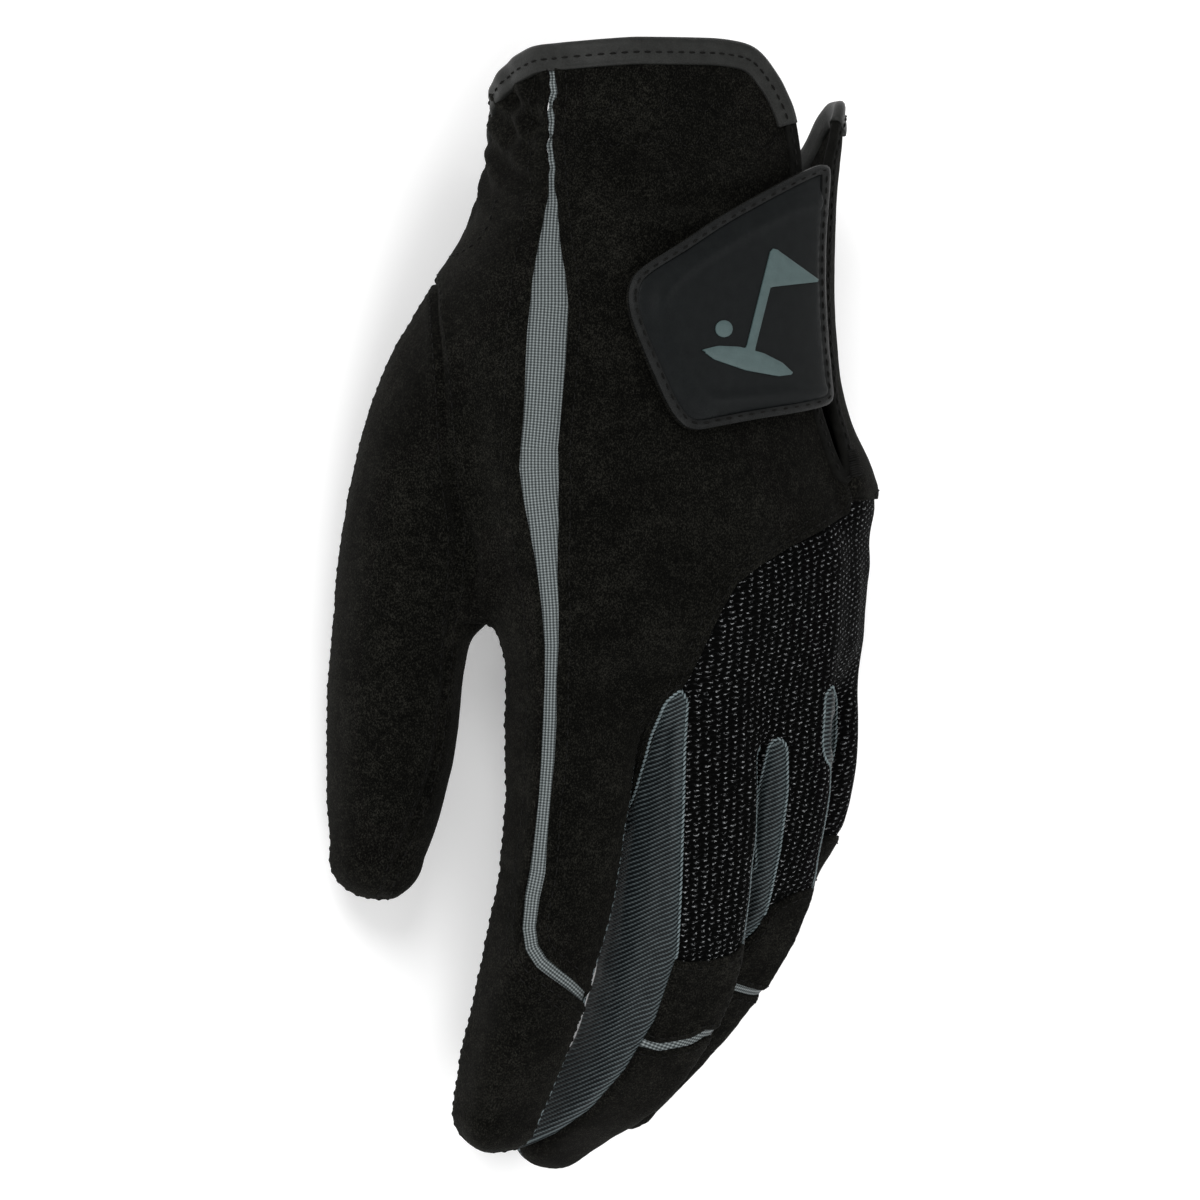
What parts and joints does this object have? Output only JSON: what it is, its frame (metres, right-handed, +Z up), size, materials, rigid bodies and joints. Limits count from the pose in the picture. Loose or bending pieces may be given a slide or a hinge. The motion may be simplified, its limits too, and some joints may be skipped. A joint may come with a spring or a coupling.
{
  "type": "golf glove",
  "caption": "Left-hand golf glove lying palm down with relaxed curled fingers, knit knuckles, stretch strips and a hook-and-loop wrist tab.",
  "frame": {"origin": "centre of the bounding box in X and Y, at its lowest point in Z: the plane the glove rests on", "axes": "+Y from the fingertips to the cuff, +X to the little finger side, +Z up out of the back of the hand"},
  "size_m": [0.1117, 0.2244, 0.0616],
  "materials": {
    "suede": "synthetic suede, matt nap",
    "knit": "open mesh knit with faint shiny yarns",
    "stretch_rib": "grey ribbed stretch fabric",
    "fourchette": "grey-green twill stretch fabric",
    "binding": "folded synthetic leather binding, low sheen",
    "moulded_plate": "soft moulded rubber, satin",
    "emblem": "raised grey-green rubber",
    "hook_and_loop": "hook-and-loop fastener",
    "elastic": "woven elastic band",
    "thread": "dense thread bar"
  },
  "bodies": {
    "hand": {"back_panel": "suede", "stretch_strip": "stretch_rib", "index_side_panel": "suede", "palm_panel": "suede", "wrist_wrap": "suede", "knuckle_knit": "knit", "cuff_binding": "binding", "cuff_elastic": "elastic", "loop_patch": "hook_and_loop", "slit_binding": "binding", "slit_bartack": "thread", "thumb_back": "suede", "thumb_front": "suede"},
    "closure_tab": {"tab_strap": "suede", "tab_plate": "moulded_plate", "tab_emblem": "emblem", "tab_binding": "binding", "tab_hook_patch": "hook_and_loop"},
    "fingers": {"index_back": "suede", "index_strip": "stretch_rib", "index_side": "suede", "index_front": "suede", "middle_knit": "knit", "middle_front": "suede", "ring_knit": "knit", "ring_front": "suede", "little_knit": "knit", "little_front": "suede", "fourchette_index_middle": "fourchette", "fourchette_middle_ring": "fourchette", "fourchette_ring_little": "fourchette"},
    "index_tip": {"index_tip_back": "suede", "index_tip_strip": "stretch_rib", "index_tip_front": "suede", "index_tip_fourchette": "fourchette"},
    "middle_tip": {"middle_tip_back": "suede", "middle_tip_strip": "stretch_rib", "middle_tip_cap": "suede", "middle_tip_front": "suede", "middle_tip_fourchettes": "fourchette"},
    "ring_tip": {"ring_tip_back": "suede", "ring_tip_strip": "stretch_rib", "ring_tip_cap": "suede", "ring_tip_front": "suede", "ring_tip_fourchettes": "fourchette"},
    "little_tip": {"little_tip_back": "suede", "little_tip_strip": "stretch_rib", "little_tip_cap": "suede", "little_tip_front": "suede", "little_tip_fourchette": "fourchette"},
    "thumb_tip": {"thumb_tip_back": "suede", "thumb_tip_front": "suede"}
  },
  "joints": [
    {"name": "knuckle_fold", "type": "hinge", "parent": "hand", "child": "fingers", "pos_m": [0.0139, -0.01276, 0.03711], "axis": [1, 0, 0], "range_deg": [-15, 45]},
    {"name": "index_bend", "type": "hinge", "parent": "fingers", "child": "index_tip", "pos_m": [-0.0176, -0.06476, 0.03261], "axis": [1, 0, 0], "range_deg": [-30, 50]},
    {"name": "middle_bend", "type": "hinge", "parent": "fingers", "child": "middle_tip", "pos_m": [0.0119, -0.06976, 0.03761], "axis": [0.9929, 0.03, -0.115], "range_deg": [-30, 50]},
    {"name": "ring_bend", "type": "hinge", "parent": "fingers", "child": "ring_tip", "pos_m": [0.0311, -0.05676, 0.03361], "axis": [0.9666, 0.09, -0.2399], "range_deg": [-25, 32]},
    {"name": "little_bend", "type": "hinge", "parent": "fingers", "child": "little_tip", "pos_m": [0.0469, -0.04176, 0.02411], "axis": [0.9352, 0.07, -0.3471], "range_deg": [-22, 34]},
    {"name": "thumb_bend", "type": "hinge", "parent": "hand", "child": "thumb_tip", "pos_m": [-0.0431, -0.02076, 0.01631], "axis": [1, 0, 0], "range_deg": [-30, 50]},
    {"name": "tab_peel", "type": "hinge", "parent": "hand", "child": "closure_tab", "pos_m": [0.04005, 0.06274, 0.04947], "axis": [0.0473, 0.9963, -0.0723], "range_deg": [0, 120]}
  ]
}
